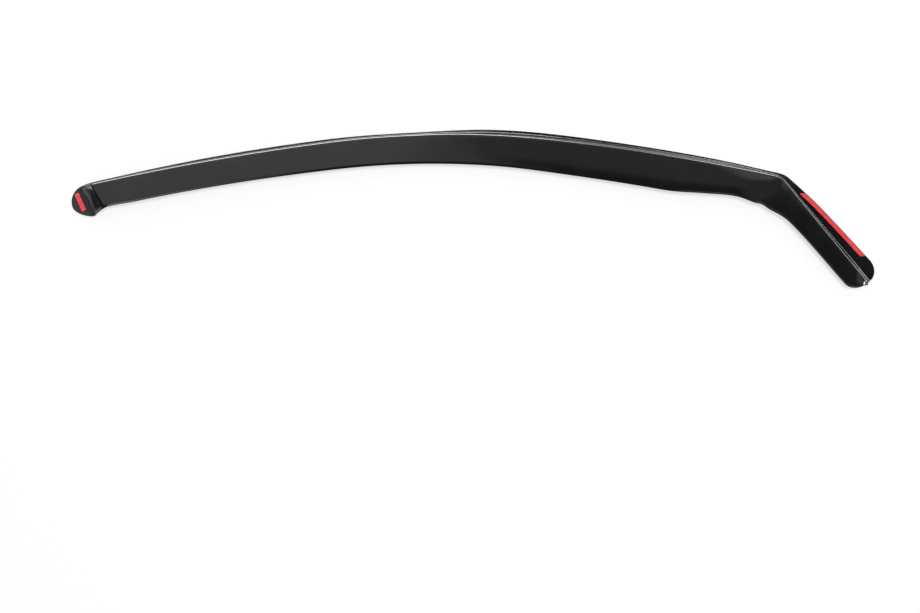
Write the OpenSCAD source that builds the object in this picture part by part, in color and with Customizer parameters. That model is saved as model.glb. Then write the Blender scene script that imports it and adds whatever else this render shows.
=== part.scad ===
// Window rain deflector for a front car door, the kind that slips into the window channel.
// One thin moulded piece: a narrow upper flange, a step up, and a wide visor panel below it.
// A round tab closes the rear end, and the front end follows the windscreen pillar down.
// Two foam tape pads with red release film sit on the outer face, where it meets the frame.
// Lengths are in mm. The part lies as it comes to rest, outer face up, front end toward +X.

/* [Moulding] */
// thickness of the moulded sheet
wall = 2.4; // [1.8:0.1:3.2]
// size of the soft bevel round the cut edge
edge_bevel = 0.5; // [0.2:0.1:0.7]

/* [Fold line, from the rear tab to the front tip] */
// direction of the fold where it leaves the tab, degrees above level
start_heading = 26; // [20:1:32]
// length of the short bend beside the tab
hook_length = 20; // [16:1:30]
// how far the fold turns down along that bend, degrees
hook_turn = 14; // [10:0.5:18]
// length of the rear run
rear_length = 281; // [220:1:340]
// turn of the rear run
rear_turn = 4.7; // [2:0.1:8]
// length of the run under the middle of the roof
roof_length = 277; // [220:1:340]
// turn of that run
roof_turn = 14; // [9:0.5:18]
// length of the front run, up to the pillar corner
front_length = 268; // [210:1:330]
// turn of the front run
front_turn = 4.8; // [2:0.1:8]
// length of the bend at the pillar corner
corner_length = 16; // [12:1:40]
// turn of the fold at the pillar corner
corner_turn = 39; // [30:0.5:44]
// length of the straight run down the pillar
pillar_length = 155; // [130:1:190]

/* [Flange width, step included, fold line to outer edge] */
// beside the rear tab
flange_tab = 4.2; // [3.3:0.1:5]
// just past the end step
flange_step = 3.9; // [3.5:0.1:5]
// middle of the rear run
flange_rear = 5.6; // [4:0.1:7]
// where the roof run begins
flange_roof_start = 5.6; // [4:0.1:7]
// a third of the way along the roof run
flange_roof_low = 5; // [4:0.1:7]
// toward the end of the roof run, where the step becomes a wide slope
flange_roof_high = 9.2; // [8:0.1:12]
// first half of the front run
flange_front = 8.9; // [8:0.1:12]
// second half of the front run
flange_front_late = 8.1; // [7.8:0.1:12]
// just before the pillar corner
flange_corner = 6.6; // [6.4:0.1:10]
// just after the pillar corner
flange_after_corner = 9.2; // [6.6:0.1:11]
// a third of the way down the pillar
flange_pillar = 15.8; // [12.5:0.1:18]
// where the front tip begins to round off
flange_tip = 21.9; // [17:0.1:26]

/* [Panel width, fold line to lower edge] */
// beside the end step
panel_waist = 36.2; // [32:0.1:38]
// once past the end step
panel_start = 34.9; // [30:0.1:38]
// length from the end step to that width
waist_length = 36; // [30:1:80]
// middle of the rear run
panel_rear = 35.1; // [30:0.1:38]
// where the roof run begins
panel_roof_start = 36.7; // [31:0.1:40]
// a third of the way along the roof run
panel_roof_low = 37.9; // [32:0.1:42]
// toward the end of the roof run
panel_roof_high = 39.9; // [34:0.1:44]
// where the front run begins
panel_front_start = 42; // [36:0.1:46]
// before the shallow dip in front of the door mirror
panel_front_wide = 43.9; // [38:0.1:47]
// where the dip begins
panel_dip_start = 44.2; // [38:0.1:47]
// on the way into the dip
panel_dip_side = 40.1; // [34:0.1:43]
// bottom of the dip
panel_dip = 36.7; // [31:0.1:40]
// just before the pillar corner
panel_corner = 42; // [37:0.1:45]
// just after the pillar corner
panel_after_corner = 41.2; // [36:0.1:44]
// a quarter of the way down the pillar
panel_pillar = 29.8; // [25:0.1:32]
// where the front tip begins to round off
panel_tip = 24.7; // [20:0.1:30]

/* [Cross-section] */
// height of the step from the flange up to the fold
step_height = 9; // [7:0.1:12]
// height of the step at the front tip
step_height_tip = 6; // [4.5:0.1:9]
// how far across the step wall runs on its way up, rear half
step_run_rear = 1.8; // [1.2:0.1:1.9]
// the same along the front half, where the wall is a visible slope
step_run_front = 5.5; // [4:0.1:6]
// the same at the pillar corner
step_run_corner = 3; // [2:0.1:4]
// the same at the front tip
step_run_tip = 5; // [3:0.1:7]
// radius in the foot of the step
foot_radius = 1.5; // [1:0.1:2]
// outer radius of the fold
fold_radius = 3; // [2.6:0.1:4]
// how much the panel still rises from the fold to its lower edge
panel_rise = 3; // [1:0.1:5]
// how much the panel swells between fold and edge
panel_crown = 1; // [0.5:0.1:2]
// width of the lip along the lower edge
lip_width = 3.2; // [2:0.1:5]
// how much the lip curls back toward the door
lip_drop = 0.8; // [0.3:0.1:1.2]

/* [Rear tab and end step] */
// radius of the round tab
tab_radius = 19; // [17:0.5:22]
// how much lower than a circle the tab hangs beside the end step, as a share
tab_swell = 0.15; // [0:0.01:0.2]
// how much of that share goes with each mm toward the rear
tab_taper = 0.02; // [0:0.002:0.03]
// length over which the end step climbs from the tab to the panel
end_step_run = 14; // [11:0.5:18]
// radius in the foot of the end step
end_foot_radius = 3; // [2.6:0.1:5]
// radius over the top of the end step, at the fold
end_crest_radius = 4; // [3:0.1:6]
// the same at the lower edge, where the crest is much rounder
end_crest_radius_low = 20; // [12:1:24]
// direction square to the crest of the end step, degrees above level
crest_heading = 32; // [26:1:36]
// how far the tab leans inward, degrees
tab_lean = 8; // [4:1:12]
// distance behind the end step at which that lean is complete
tab_lean_end = 4; // [3:0.5:5]
// length over which it builds up
tab_lean_length = 14; // [10:1:20]

/* [Front tip] */
// length over which the flange and the panel round off
tip_length = 18; // [14:1:24]
// flange that is left at the very end
tip_flange = 1.2; // [0.8:0.1:2]
// panel that is left at the very end
tip_panel = 3; // [2:0.1:5]

/* [Curve of the door] */
// radius of the long bow along the part
bow_radius = 9000; // [7500:100:12000]
// how far the pillar run leans inward, degrees
pillar_lean = 5.5; // [4.5:0.5:7.5]
// distance down the pillar at which that lean is complete
pillar_lean_end = 14; // [10:1:16]
// length over which it builds up
pillar_lean_length = 50; // [40:1:70]
// how far before the pillar corner the long bow ends
bow_margin = 8; // [5:1:12]

/* [Cross-section lines at the bends] */
// length past the end step over which they swing back square to the fold
swing_rear = 60; // [50:1:80]
// how far before the pillar corner they begin to swing
swing_before_corner = 60; // [50:1:80]
// how far after it they are square to the fold again
swing_after_corner = 45; // [40:1:60]

/* [Tape pads] */
// thickness of the foam tape
foam = 0.9; // [0.6:0.1:1.4]
// thickness of the release film
film = 0.2; // [0.15:0.05:0.3]
// length of the pad on the rear tab
pad_length = 24; // [18:1:26]
// width of the pad on the rear tab
pad_width = 5.5; // [4:0.5:7]
// distance from the foot of the end step to the middle of the pad
pad_inset = 7.7; // [7:0.1:11]
// how far the pad sits above the middle of the tab
pad_raise = 1.4; // [0:0.1:3]
// width of the strip on the pillar
strip_width = 5; // [4:0.5:6]
// gap between that strip and the edge of the flange
strip_margin = 1.4; // [0.8:0.1:1.8]
// distance from the pillar corner to the upper end of the strip
strip_start = 25; // [24:1:34]
// length of the strip
strip_length = 104; // [80:1:106]

/* [Hidden] */

// The fold line seen from above, as six arcs one after another
runs = [[hook_length, hook_turn], [rear_length, rear_turn], [roof_length, roof_turn],
        [front_length, front_turn], [corner_length, corner_turn], [pillar_length, 0]];
last_run = len(runs) - 1;

// place and heading after going d mm along a run that starts at p
function along(p, run, d) =
    run[1] == 0 ? [p[0] + d * cos(p[2]), p[1] + d * sin(p[2]), p[2]] :
    let (r = run[0] / run[1] * 180 / PI, h = p[2] - run[1] * d / run[0])
    [p[0] + r * (sin(p[2]) - sin(h)), p[1] - r * (cos(p[2]) - cos(h)), h];

// distance from the tab at which each run starts, and the place and heading there
run_at = [for (i = 0, s = 0; i <= len(runs); s = s + (i <= last_run ? runs[i][0] : 0), i = i + 1) s];
run_from = [
    for (i = 0, p = [0, 0, start_heading]; i <= last_run; p = along(p, runs[i], runs[i][0]), i = i + 1) p];

rear_at = run_at[1];
roof_at = run_at[2];
front_at = run_at[3];
corner_at = run_at[4];
pillar_at = run_at[5];
tip_at = run_at[6] - tip_length;

// place and heading of the fold line s mm from the foot of the end step
function fold(s) =
    s < 0 ? [s * cos(start_heading), s * sin(start_heading), start_heading] :
    let (i = max([for (k = [0:last_run]) if (run_at[k] <= s) k]))
    along(run_from[i], runs[i], s - run_at[i]);

// Smooth curves through named sizes
function grade(k, i) =
    let (a = max(i - 1, 0), b = min(i + 1, len(k) - 1))
    (k[b][1] - k[a][1]) / (k[b][0] - k[a][0]);

// value at x of a smooth curve through the points k = [[x, value], ...]
function curve(x, k) =
    let (n = len(k) - 1)
    x <= k[0][0] ? k[0][1] :
    x >= k[n][0] ? k[n][1] :
    let (
        i = max([for (j = [0:n - 1]) if (k[j][0] <= x) j]),
        h = k[i + 1][0] - k[i][0], t = (x - k[i][0]) / h)
    (1 + 2 * t) * (1 - t) ^ 2 * k[i][1] + t * (1 - t) ^ 2 * h * grade(k, i)
    + t * t * (3 - 2 * t) * k[i + 1][1] - t * t * (1 - t) * h * grade(k, i + 1);

// 0 before a, 1 after b and a smooth change between
function ease(s, a, b) = let (t = min(max((s - a) / (b - a), 0), 1)) t * t * (3 - 2 * t);

waist_at = end_step_run - 2;
roof_low_at = roof_at + 0.38 * roof_length;
roof_high_at = roof_at + 0.77 * roof_length;
front_late_at = front_at + 0.75 * front_length;

flange_curve = [
    [0, flange_tab], [end_step_run + end_crest_radius, flange_step], [(rear_at + roof_at) / 2, flange_rear],
    [roof_at, flange_roof_start], [roof_low_at, flange_roof_low], [roof_high_at, flange_roof_high],
    [front_at + 0.4 * front_length, flange_front], [front_late_at, flange_front_late],
    [corner_at, flange_corner], [pillar_at, flange_after_corner],
    [pillar_at + 0.3 * pillar_length, flange_pillar], [tip_at, flange_tip]];
panel_curve = [
    [waist_at, panel_waist], [waist_at + waist_length, panel_start], [(rear_at + roof_at) / 2, panel_rear],
    [roof_at, panel_roof_start], [roof_low_at, panel_roof_low], [roof_high_at, panel_roof_high],
    [front_at, panel_front_start], [front_at + 0.4 * front_length, panel_front_wide],
    [front_at + 0.55 * front_length, panel_dip_start], [front_at + 0.7 * front_length, panel_dip_side],
    [front_at + 0.85 * front_length, panel_dip], [corner_at, panel_corner], [pillar_at, panel_after_corner],
    [pillar_at + 0.25 * pillar_length, panel_pillar], [tip_at, panel_tip]];
height_curve = [[corner_at, step_height], [tip_at, step_height_tip]];
wall_curve = [
    [roof_low_at, step_run_rear], [roof_high_at, step_run_front], [front_late_at, step_run_front],
    [pillar_at, step_run_corner], [tip_at, step_run_tip]];

// the front tip is rounded like a quarter ellipse, here as a share of the full width
function tip_share(s) = s > tip_at ? sqrt(max(1 - ((s - tip_at) / tip_length) ^ 2, 0)) : 1;

// the middle of the tab's circle lies this far below the fold line, at the foot of the end step
tab_middle = tab_radius - flange_tab;
function tab_chord(s) = sqrt(max(tab_radius ^ 2 - s * s, 0));
// the tab's lower half, from the fold line down
function tab_low(s) = tab_middle + tab_chord(s) * (1 + tab_swell + tab_taper * min(s, 0));

function step_run(s) = curve(s, wall_curve);
function flange_width(s) =
    s < 0 ? tab_chord(s) - tab_middle :
    let (base = step_run(s) + tip_flange)
    base + (curve(s, flange_curve) - base) * tip_share(s);
function panel_width(s) =
    s < 0 ? tab_low(s) :
    let (w = tip_panel + (curve(s, panel_curve) - tip_panel) * tip_share(s))
    s < tab_radius ? max(w, tab_low(s)) : w;

// where the fold bends sharply, the cross-sections turn more gently than the fold does
function section_heading(s) =
    let (
        a = end_step_run, b = a + swing_rear,
        c = corner_at - swing_before_corner, d = pillar_at + swing_after_corner)
    s < a ? start_heading + (crest_heading - start_heading) * ease(s, 0, a) :
    s < b ? crest_heading + (fold(b)[2] - crest_heading) * ease(s, a, b) :
    s > c && s < d ? fold(c)[2] + (fold(d)[2] - fold(c)[2]) * ease(s, c, d) :
    fold(s)[2];

// the end step, as a share of the full height: flat on the tab, then a slope with a round foot and crest
end_slope = atan2(step_height, end_step_run);
end_foot = end_foot_radius * tan(end_slope / 2);
end_crest = end_crest_radius * tan(end_slope / 2);
// the crest has radius r
function end_share(s, r) =
    let (crest = r * tan(end_slope / 2))
    (s <= -end_foot ? 0 :
     s >= end_step_run + crest ? step_height :
     s < end_foot * cos(end_slope) ? end_foot_radius - sqrt(end_foot_radius ^ 2 - (s + end_foot) ^ 2) :
     s > end_step_run - crest * cos(end_slope) ?
        step_height - r + sqrt(r ^ 2 - (s - end_step_run - crest) ^ 2) :
     s * step_height / end_step_run) / step_height;
// radius of the crest at a share t of the way from the fold to the lower edge
function crest_radius(t) =
    end_crest_radius + (end_crest_radius_low - end_crest_radius) * min(max(t, 0), 1);

// One cross-section, as pairs of distance across from the fold and height above the flange
function profile(f, w, h, run) =
    let (
        slope = atan2(h, run),
        start = atan2(panel_rise + 4 * panel_crown, w),
        foot = foot_radius * tan(slope / 2),
        top = fold_radius * tan((slope - start) / 2),
        edge = max(f - edge_bevel, run + foot + 0.1),
        land = top * cos(start),
        reach = w - edge_bevel - land,
        lip = min(lip_width, reach / 2),
        curl = lip_drop * (lip / lip_width) ^ 2)
    concat(
        [for (i = [0:2]) [-edge + (edge - run - foot) * i / 3, 0]],
        [for (i = [0:3]) let (a = slope * i / 3)
            [foot_radius * sin(a) - run - foot, foot_radius * (1 - cos(a))]],
        [for (i = [0:4]) let (a = slope + (start - slope) * i / 4)
            [fold_radius * (sin(slope) - sin(a)) - top * cos(slope),
             h - top * sin(slope) - fold_radius * (cos(slope) - cos(a))]],
        [for (k = [1:10])
            let (q = land + (k < 8 ? (reach - lip) * k / 7 : reach - lip + lip * (k - 7) / 3),
                 t = q / w, e = max(q - land - reach + lip, 0) / lip)
            [q, h + panel_rise * t + 4 * panel_crown * t * (1 - t) - curl * e * e]]);

// on the tab the points across are squeezed into the circle
function section(s) =
    let (
        f = flange_width(s), w = panel_width(s),
        p = profile(max(f, flange_tab), w, curve(s, height_curve), step_run(s)),
        n = len(p) - 1,
        k = s < 0 ? (f + w - 2 * edge_bevel) / (p[n][0] - p[0][0]) : 1,
        q0 = s < 0 ? edge_bevel - f : p[0][0])
    [for (v = p) [q0 + (v[0] - p[0][0]) * k, v[1] * end_share(s, crest_radius(v[0] / w))]];

// Height of the curved door surface that the flange follows
pillar_from = fold(pillar_at);
bow_first = (panel_start + 2) * sin(start_heading) + 4;
bow_last = pillar_from[0] - bow_margin;
bow_half = (bow_last - bow_first) / 2;
function bow_drop(x) =
    let (d = abs(x - (bow_first + bow_last) / 2), a = min(d, bow_half))
    bow_radius - sqrt(bow_radius ^ 2 - a * a) + (d - a) * bow_half / sqrt(bow_radius ^ 2 - bow_half ^ 2);

// fall of a surface that bends over the given length and is straight beyond it, d mm after the bend begins
function lean_drop(d, length, angle) =
    let (e = max(d, 0), a = min(e, length)) (a * a / (2 * length) + e - a) * tan(angle);
// how far a plan point lies beyond c, in the direction of the heading
function beyond(c, heading, x, y) = (x - c[0]) * cos(heading) + (y - c[1]) * sin(heading);
function door(x, y) =
    -bow_drop(x)
    - lean_drop(beyond(pillar_from, pillar_from[2], x, y) - pillar_lean_end + pillar_lean_length,
                pillar_lean_length, pillar_lean)
    - lean_drop(-beyond([0, 0], start_heading, x, y) - tab_lean_end + tab_lean_length,
                tab_lean_length, tab_lean);

// a point s mm along and q mm across, z mm above the door surface
function point_at(s, q, z) =
    let (p = fold(s), h = section_heading(s), x = p[0] + q * sin(h), y = p[1] - q * cos(h))
    [x, y, z + door(x, y)];

// Stations along the part: tab, end step, long body, pillar corner, pillar, front tip
crest_low = end_crest_radius_low * tan(end_slope / 2);
step_end = end_step_run + crest_low;
near_step = 60;
near_corner = 12;
stations = concat(
    [for (a = [84, 74, 63, 52, 41, 30, 20, 10]) -tab_radius * sin(a)],
    [for (t = [-1, -0.4, 0.4 * cos(end_slope), cos(end_slope)]) t * end_foot],
    [for (t = [0.2, 0.38]) t * end_step_run],
    [for (t = [-cos(end_slope), -0.62]) end_step_run + t * crest_low],
    [for (t = [-cos(end_slope), -0.3, 0.3, 1]) end_step_run + t * end_crest],
    [for (t = [0.5, 0.75, 1]) end_step_run + t * crest_low],
    [for (i = [1:8]) step_end + near_step * i / 8],
    [for (i = [1:44]) step_end + near_step + (corner_at - near_corner - step_end - near_step) * i / 44],
    [for (i = [1:16]) corner_at - near_corner + (corner_length + 2 * near_corner) * i / 16],
    [for (i = [1:12]) pillar_at + near_corner + (tip_at - pillar_at - near_corner) * i / 12],
    [for (a = [12, 24, 36, 48, 59, 69, 77, 84]) tip_at + tip_length * sin(a)]);
rows = len(stations);

unit = function (v) v / norm(v);
outer = [for (s = stations) [for (p = section(s)) point_at(s, p[0], p[1])]];
cols = len(outer[0]);
facing = [for (i = [0:rows - 1]) [for (j = [0:cols - 1])
    unit(cross(outer[min(i + 1, rows - 1)][j] - outer[max(i - 1, 0)][j],
               outer[i][max(j - 1, 0)] - outer[i][min(j + 1, cols - 1)]))]];
inner = [for (i = [0:rows - 1]) [for (j = [0:cols - 1]) outer[i][j] - wall * facing[i][j]]];

// The attitude in which the part lies still, on a point at the rear, the middle and the front
function lowest(pts, up) =
    let (d = [for (p = pts) p * up], m = min(d))
    pts[[for (i = [0:len(d) - 1]) if (d[i] == m) i][0]];
function under(a, b) = [for (i = [0:rows - 1]) if (stations[i] >= a && stations[i] <= b) each inner[i]];
feet = [
    under(-tab_radius, waist_at), under(roof_at, front_at + front_length / 2), under(corner_at, run_at[6])];
function settle(up, n) =
    n == 0 ? up :
    let (p = [for (f = feet) lowest(f, up)]) settle(unit(cross(p[2] - p[0], p[1] - p[0])), n - 1);
up = settle([0, 0, 1], 8);

// smallest turn that brings that direction upright
turn = let (v = [up[1], -up[0], 0], c = 1 + up[2]) [
    [1 - v[1] * v[1] / c, v[0] * v[1] / c, v[1]],
    [v[0] * v[1] / c, 1 - v[0] * v[0] / c, -v[0]],
    [-v[1], v[0], 1 - (v[0] * v[0] + v[1] * v[1]) / c]];
turned = [for (g = [outer, inner]) for (r = g) for (p = r) turn * p];
low = [for (k = [0:2]) min([for (p = turned) p[k]])];
high = [for (k = [0:2]) max([for (p = turned) p[k]])];
home = [(low[0] + high[0]) / 2, (low[1] + high[1]) / 2, low[2]];
function placed(p) = turn * p - home;

// The moulded piece: outer face, inner face and a bevelled edge all the way round
rim = concat(
    [for (i = [0:rows - 1]) [i, 0]], [for (j = [1:cols - 1]) [rows - 1, j]],
    [for (i = [rows - 2:-1:0]) [i, cols - 1]], [for (j = [cols - 2:-1:1]) [0, j]]);
around = len(rim);
rim_out = [for (k = [0:around - 1])
    let (a = rim[k], b = rim[(k + 1) % around], c = rim[(k + around - 1) % around])
    unit(cross(facing[a[0]][a[1]], outer[b[0]][b[1]] - outer[c[0]][c[1]]))];
function rim_ring(depth) = [for (k = [0:around - 1])
    let (a = rim[k]) outer[a[0]][a[1]] + edge_bevel * rim_out[k] - depth * facing[a[0]][a[1]]];
shell_points = [for (p = concat(
    [for (r = outer) each r], [for (r = inner) each r],
    rim_ring(edge_bevel), rim_ring(wall - edge_bevel))) placed(p)];
count = rows * cols;
shell_faces = concat(
    [for (i = [0:rows - 2], j = [0:cols - 2]) let (a = i * cols + j) each [
        [a, a + cols + 1, a + 1], [a, a + cols, a + cols + 1],
        [count + a, count + a + 1, count + a + cols + 1],
        [count + a, count + a + cols + 1, count + a + cols]]],
    [for (k = [0:around - 1])
        let (n = (k + 1) % around, a = rim[k], b = rim[n],
             o = a[0] * cols + a[1], p = b[0] * cols + b[1], e = 2 * count + k, f = 2 * count + n)
        each [
            [o, f, p], [o, e, f],
            [e, f + around, f], [e, e + around, f + around],
            [e + around, count + p, f + around], [e + around, count + o, count + p]]]);

module deflector()
    color("#1b1c1e") polyhedron(shell_points, shell_faces, convexity = 8);

// Tape: a flat outline on the flat seat at plan point c, with its own x axis at the given heading
function seat(c, heading) =
    let (
        gx = door(c[0] + 1, c[1]) - door(c[0], c[1]), gy = door(c[0], c[1] + 1) - door(c[0], c[1]),
        ez = unit([-gx, -gy, 1]),
        ex = unit([cos(heading), sin(heading), gx * cos(heading) + gy * sin(heading)]))
    [ex, cross(ez, ex), ez, [c[0], c[1], door(c[0], c[1])]];
function on_seat(t, p) = let (v = [p[0], p[1], door(p[0], p[1])] - t[3]) [v * t[0], v * t[1]];
module lay(t, outline, from, thick) {
    m = [for (v = [turn * t[0], turn * t[1], turn * t[2], placed(t[3])]) v];
    multmatrix([for (k = [0:2]) [m[0][k], m[1][k], m[2][k], m[3][k]]])
        translate([0, 0, from]) linear_extrude(thick) polygon(outline);
}

pad_seat = seat(point_at(-pad_inset, tab_middle - pad_raise, 0), start_heading);
pad_outline = [for (v = [[-1, -1], [1, -1], [1, 1], [-1, 1]]) [v[0] * pad_width / 2, v[1] * pad_length / 2]];

// the strip follows the flange edge, and both of its ends are cut level
strip_seat = seat(point_at(pillar_at + strip_start, 0, 0), pillar_from[2]);
level_cut = strip_width / tan(-pillar_from[2]);
function strip_side(inset, first) = [for (i = [0:12])
    let (s = pillar_at + first + strip_length * i / 12)
    on_seat(strip_seat, point_at(s, inset - flange_width(s), 0))];
strip_outline = let (
    near = strip_side(strip_margin, strip_start),
    far = strip_side(strip_margin + strip_width, strip_start - level_cut))
    concat(near, [for (i = [12:-1:0]) far[i]]);

module rear_tape() color("#2a2b2d") lay(pad_seat, pad_outline, 0, foam);
module rear_liner() color("#e8323c") lay(pad_seat, pad_outline, foam, film);
module front_tape() color("#2a2b2d") lay(strip_seat, strip_outline, 0, foam);
module front_liner() color("#e8323c") lay(strip_seat, strip_outline, foam, film);

deflector();
rear_tape();
rear_liner();
front_tape();
front_liner();
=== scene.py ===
"""Looks for a front-door window rain deflector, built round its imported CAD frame.

The smoked acrylic moulding is lofted again from the same named sizes as the CAD source, with far
finer sections, a rounded cut edge and smooth shading. The two foam pads and their release films
are modelled as separate pieces on their flat seats. Lengths are in millimetres until a mesh is
made, and every Blender object is in metres in the frame of the CAD.
"""

from __future__ import annotations

import logging
import math
from dataclasses import dataclass, field
from enum import Enum
from typing import Any, NamedTuple, Sequence

import bpy
import numpy as np
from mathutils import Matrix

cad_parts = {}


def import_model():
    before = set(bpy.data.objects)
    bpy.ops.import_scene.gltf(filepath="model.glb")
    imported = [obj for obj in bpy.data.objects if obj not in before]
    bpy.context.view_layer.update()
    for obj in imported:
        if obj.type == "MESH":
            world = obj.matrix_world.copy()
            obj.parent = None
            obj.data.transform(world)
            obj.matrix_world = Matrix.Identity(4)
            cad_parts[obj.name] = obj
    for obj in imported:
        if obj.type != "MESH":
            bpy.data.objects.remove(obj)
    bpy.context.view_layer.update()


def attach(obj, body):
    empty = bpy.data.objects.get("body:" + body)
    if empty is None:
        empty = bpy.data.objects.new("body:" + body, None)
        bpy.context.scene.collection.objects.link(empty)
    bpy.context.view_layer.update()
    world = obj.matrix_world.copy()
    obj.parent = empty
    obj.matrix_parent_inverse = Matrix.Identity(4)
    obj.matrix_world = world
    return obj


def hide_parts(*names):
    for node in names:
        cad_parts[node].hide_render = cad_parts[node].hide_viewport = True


log = logging.getLogger("deflector")

MM = 0.001
BODY = "root"
IMAGE_WIDTH = 920
SENSOR_WIDTH = 36.0
Array = np.ndarray
Color = tuple[float, float, float]
WHITE = (1.0, 1.0, 1.0, 1.0)


class Slot(Enum):
    """Material slots of the record."""

    ACRYLIC = "smoked_acrylic"
    FOAM = "foam_tape"
    FILM = "release_film"


# Curves that the moulding is lofted along


def ease(s: Array | float, a: float, b: float) -> Array:
    """Share reached at s by a smooth change from 0 at a to 1 at b."""
    t = np.clip((np.asarray(s, float) - a) / (b - a), 0.0, 1.0)
    return t * t * (3.0 - 2.0 * t)


@dataclass(frozen=True)
class SmoothCurve:
    """A smooth curve through knots of position and value.

    Args:
        places: Positions of the knots, in order.
        values: Value at each knot.
    """

    places: Sequence[float]
    values: Sequence[float]

    def __call__(self, s: Array) -> Array:
        """Read the curve.

        Args:
            s: Positions.

        Returns:
            The value at each of them.
        """
        x, y = np.array(self.places, float), np.array(self.values, float)
        grade = np.empty(len(x))
        grade[0] = (y[1] - y[0]) / (x[1] - x[0])
        grade[-1] = (y[-1] - y[-2]) / (x[-1] - x[-2])
        grade[1:-1] = (y[2:] - y[:-2]) / (x[2:] - x[:-2])
        i = np.clip(np.searchsorted(x, s, side="right") - 1, 0, len(x) - 2)
        h = x[i + 1] - x[i]
        t = np.clip((s - x[i]) / h, 0.0, 1.0)
        return (
            (1 + 2 * t) * (1 - t) ** 2 * y[i]
            + t * (1 - t) ** 2 * h * grade[i]
            + t * t * (3 - 2 * t) * y[i + 1]
            - t * t * (1 - t) * h * grade[i + 1]
        )


class Marks(NamedTuple):
    """Distances along the fold from the foot of the end step to where each run starts."""

    foot: float
    rear: float
    roof: float
    front: float
    corner: float
    pillar: float
    end: float


@dataclass(frozen=True)
class FoldLine:
    """The fold between step wall and panel, seen from above, as arcs one after another.

    Args:
        start_heading: Direction at the rear tab, degrees above level.
        runs: Length and downward turn in degrees of each arc: the bend beside the tab, the rear,
            roof and front runs, the pillar corner and the straight pillar run.
    """

    start_heading: float = 26.0
    runs: tuple[tuple[float, float], ...] = (
        (20.0, 14.0),
        (281.0, 4.7),
        (277.0, 14.0),
        (268.0, 4.8),
        (16.0, 39.0),
        (155.0, 0.0),
    )

    @property
    def marks(self) -> Marks:
        """Where each run starts, and the end of the last."""
        return Marks(0.0, *np.cumsum([length for length, _ in self.runs]))

    def at(self, s: Array | float) -> tuple[Array, Array, Array]:
        """Place and heading of the fold.

        Args:
            s: Distances along the fold from the foot of the end step.

        Returns:
            x, y and heading in degrees, each the shape of s.
        """
        s = np.atleast_1d(np.asarray(s, float))
        heading = np.full_like(s, self.start_heading)
        back = np.minimum(s, 0.0)
        x = back * math.cos(math.radians(self.start_heading))
        y = back * math.sin(math.radians(self.start_heading))
        left = np.maximum(s, 0.0)
        for k, (length, turn) in enumerate(self.runs):
            last = k == len(self.runs) - 1
            step = left if last else np.minimum(left, length)
            before = np.radians(heading)
            if turn == 0.0:
                x = x + step * np.cos(before)
                y = y + step * np.sin(before)
            else:
                radius = length / math.radians(turn)
                heading = heading - turn * step / length
                after = np.radians(heading)
                x = x + radius * (np.sin(before) - np.sin(after))
                y = y - radius * (np.cos(before) - np.cos(after))
            left = left - step
        return x, y, heading


@dataclass(frozen=True)
class Lean:
    """A surface that bends away over a short length and is straight beyond it.

    Args:
        angle: Lean once it is complete, degrees.
        end: Distance beyond the start point at which it is complete.
        length: Length over which it builds up.
    """

    angle: float
    end: float
    length: float

    def drop(self, beyond: Array) -> Array:
        """Fall of the surface.

        Args:
            beyond: Distances beyond the start point.

        Returns:
            The fall at each of them.
        """
        past = np.maximum(beyond - self.end + self.length, 0.0)
        arc = np.minimum(past, self.length)
        return (arc**2 / (2 * self.length) + past - arc) * math.tan(math.radians(self.angle))


@dataclass(frozen=True)
class DoorCurve:
    """Height of the door that the flange follows: a long bow, a leaning pillar, a leaning tab.

    Args:
        fold: The fold line.
        bow_radius: Radius of the bow along the part.
        bow_first: Where along x the bow begins; it is straight before that.
        bow_margin: How far before the pillar corner the bow ends.
        pillar: Lean of the pillar run.
        tab: Lean of the rear tab.
    """

    fold: FoldLine
    bow_radius: float = 9000.0
    bow_first: float = 20.18
    bow_margin: float = 8.0
    pillar: Lean = Lean(5.5, 14.0, 50.0)
    tab: Lean = Lean(8.0, 4.0, 14.0)

    def height(self, x: Array, y: Array) -> Array:
        """Height of the door.

        Args:
            x: Places along the part, seen from above.
            y: Places across it.

        Returns:
            The height at each of them.
        """
        px, py, heading = (float(v[0]) for v in self.fold.at(self.fold.marks.pillar))
        down, back = math.radians(heading), math.radians(self.fold.start_heading)
        last = px - self.bow_margin
        half = (last - self.bow_first) / 2
        away = np.abs(x - (self.bow_first + last) / 2)
        on_arc = np.minimum(away, half)
        bow = self.bow_radius - np.sqrt(self.bow_radius**2 - on_arc**2)
        bow = bow + (away - on_arc) * half / math.sqrt(self.bow_radius**2 - half**2)
        along = (x - px) * math.cos(down) + (y - py) * math.sin(down)
        behind = -x * math.cos(back) - y * math.sin(back)
        return -bow - self.pillar.drop(along) - self.tab.drop(behind)


# Meshes


def make_piece(name: str, points: Array, faces: Sequence[Sequence[int]]) -> bpy.types.Object:
    """A smooth-shaded mesh object in the scene.

    Args:
        name: Name of the piece.
        points: Rows of x, y, z in metres.
        faces: Lists of point numbers, counter-clockwise seen from outside.

    Returns:
        The new object.
    """
    mesh = bpy.data.meshes.new(name)
    mesh.from_pydata([tuple(p) for p in points.tolist()], [], [tuple(f) for f in faces])
    mesh.validate()
    mesh.shade_smooth()
    piece = bpy.data.objects.new(name, mesh)
    bpy.context.scene.collection.objects.link(piece)
    return piece


def mark_points(piece: bpy.types.Object, name: str, values: Array) -> None:
    """Store one number at each point of a piece, for its material to read."""
    attribute = piece.data.attributes.new(name, "FLOAT", "POINT")
    attribute.data.foreach_set("value", np.asarray(values, np.float32))


def ring_faces(first: Array, second: Array) -> list[list[int]]:
    """Quads between two closed rings of point numbers, the second outside of the first."""
    return np.stack([first, np.roll(first, -1), np.roll(second, -1), second], 1).tolist()


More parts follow.
